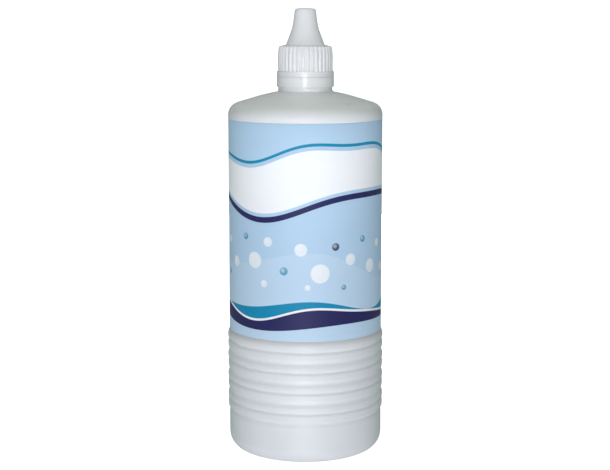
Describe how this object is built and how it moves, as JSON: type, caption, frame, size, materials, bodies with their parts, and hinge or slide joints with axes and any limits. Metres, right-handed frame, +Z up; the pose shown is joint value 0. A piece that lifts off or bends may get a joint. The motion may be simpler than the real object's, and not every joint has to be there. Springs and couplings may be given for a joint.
{
  "type": "contact lens solution bottle",
  "caption": "Round white squeeze bottle with a ribbed lower grip, wrap-round film label, dropper nozzle and a conical screw cap over a tamper band.",
  "frame": {"origin": "centre of the standing ring, on the floor", "axes": "+Z up along the bottle's axis; the front of the label faces -Y and its lap seam is at +Y"},
  "size_m": [0.0706, 0.0706, 0.1997],
  "materials": {
    "bottle_plastic": "satin white blow-moulded polyethylene",
    "cap_plastic": "smooth white moulded plastic",
    "nozzle_plastic": "natural translucent polyethylene",
    "label_film": "printed film with a soft gloss"
  },
  "bodies": {
    "bottle": {"bottle_body": "bottle_plastic", "nozzle_insert": "nozzle_plastic", "wrap_label": "label_film"},
    "tamper_ring": {"tamper_band": "cap_plastic"},
    "cap": {"screw_cap": "cap_plastic"}
  },
  "joints": [
    {"name": "cap_turn", "type": "hinge", "parent": "bottle", "child": "tamper_ring", "pos_m": [0, 0, 0.167], "axis": [0, 0, 1], "range_deg": [0, 3600]},
    {"name": "cap_lift", "type": "slide", "parent": "tamper_ring", "child": "cap", "axis": [0, 0, 1], "range_m": [0, 0.03]}
  ],
  "couplings": [
    {"joint": "cap_lift", "follows": "cap_turn", "m_per_rad": 0.00047746}
  ]
}
